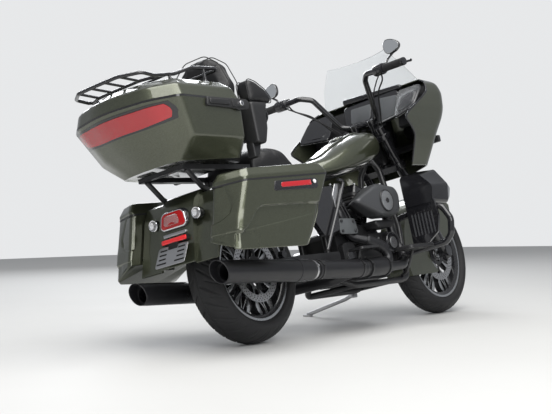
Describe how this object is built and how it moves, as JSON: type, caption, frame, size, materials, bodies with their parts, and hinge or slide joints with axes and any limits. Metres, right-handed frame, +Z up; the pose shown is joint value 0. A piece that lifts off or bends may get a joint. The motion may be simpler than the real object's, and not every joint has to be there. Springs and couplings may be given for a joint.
{
  "type": "touring cruiser motorcycle",
  "caption": "Touring motorcycle with twin engine, fairing and windscreen, rigid side cases, top case with rack and padded backrest, low slung mufflers, resting on its side stand.",
  "frame": {"origin": "centre of the footprint on the floor, under the middle of the overall bounds", "axes": "+Y forward, +X to the rider's right, +Z up; the machine leans 13 degrees to its left about Y"},
  "size_m": [1.1247, 2.663, 1.471],
  "materials": {
    "black_gloss": "gloss black",
    "black_satin": "satin black",
    "chrome": "polished",
    "clear_lens": "clear lens",
    "engine_black": "wrinkle black casting",
    "exhaust_black": "heat resistant satin black",
    "leather": "grained black",
    "lens": "red lens",
    "machined": "machined",
    "paint": "metallic olive green gloss",
    "plastic": "grained black",
    "rubber": "soft",
    "screen": "clear tinted",
    "steel": "brushed",
    "tyre": "moulded rubber",
    "wheel_black": "gloss black with machined faces"
  },
  "bodies": {
    "chassis": {"frame": "black_satin", "swingarm": "black_satin", "rear_shocks": "black_satin", "crankcase": "engine_black", "cylinders": "engine_black", "engine_covers": "machined", "rocker_boxes": "black_gloss", "primary_cover": "black_gloss", "air_cleaner": "black_gloss", "headers": "exhaust_black", "mufflers": "exhaust_black", "fuel_tank": "paint", "seat": "leather", "side_covers": "paint", "rear_fender": "paint", "saddlebag_right": "paint", "saddlebag_left": "paint", "tour_case_base": "paint", "backrest": "leather", "case_mount": "black_satin", "tail_lamp": "lens", "signals_and_plate": "chrome", "fairing_outer": "paint", "fairing_inner": "plastic", "headlamps": "clear_lens", "windscreen": "screen", "lower_fairings": "paint", "oil_cooler": "engine_black", "engine_guard": "black_gloss", "floorboards": "rubber", "drive_belt": "rubber"},
    "front_wheel": {"front_tyre": "tyre", "front_rim": "wheel_black"},
    "rear_wheel": {"rear_tyre": "tyre", "rear_rim": "wheel_black"},
    "steering": {"fork_tubes": "black_gloss", "fork_sliders": "black_gloss", "front_fender": "paint", "handlebar": "black_gloss", "hand_controls": "rubber"},
    "side_stand": {"side_stand": "steel"},
    "bag_lid_right": {"bag_lid_right": "paint"},
    "bag_lid_left": {"bag_lid_left": "paint"},
    "tour_case_lid": {"tour_case_lid": "paint", "luggage_rack": "black_gloss"}
  },
  "joints": [
    {"name": "front_wheel_spin", "type": "hinge", "parent": "steering", "child": "front_wheel", "pos_m": [0.14444, 1.0075, 0.31862], "axis": [-0.9744, 0, -0.225], "continuous": true},
    {"name": "rear_wheel_spin", "type": "hinge", "parent": "chassis", "child": "rear_wheel", "pos_m": [0.14385, -0.6175, 0.32118], "axis": [-0.9744, 0, -0.225], "continuous": true},
    {"name": "steering_turn", "type": "hinge", "parent": "chassis", "child": "steering", "pos_m": [0.01554, 0.74154, 0.87693], "axis": [-0.2022, -0.4384, 0.8758], "range_deg": [-32, 32]},
    {"name": "side_stand_fold", "type": "hinge", "parent": "chassis", "child": "side_stand", "pos_m": [-0.01002, 0.4925, 0.13414], "axis": [-0.2222, 0.155, 0.9626], "range_deg": [0, 92]},
    {"name": "bag_lid_right_open", "type": "hinge", "parent": "chassis", "child": "bag_lid_right", "pos_m": [0.45252, -0.9475, 0.749], "axis": [0.1008, 0.9937, 0.0498], "range_deg": [0, 40]},
    {"name": "bag_lid_left_open", "type": "hinge", "parent": "chassis", "child": "bag_lid_left", "pos_m": [-0.32113, -0.9475, 0.57039], "axis": [0.1124, -0.9937, -0.0006], "range_deg": [0, 40]},
    {"name": "tour_case_lid_open", "type": "hinge", "parent": "chassis", "child": "tour_case_lid", "pos_m": [-0.34333, -0.9175, 0.95996], "axis": [0, -1, 0], "range_deg": [0, 75]}
  ]
}
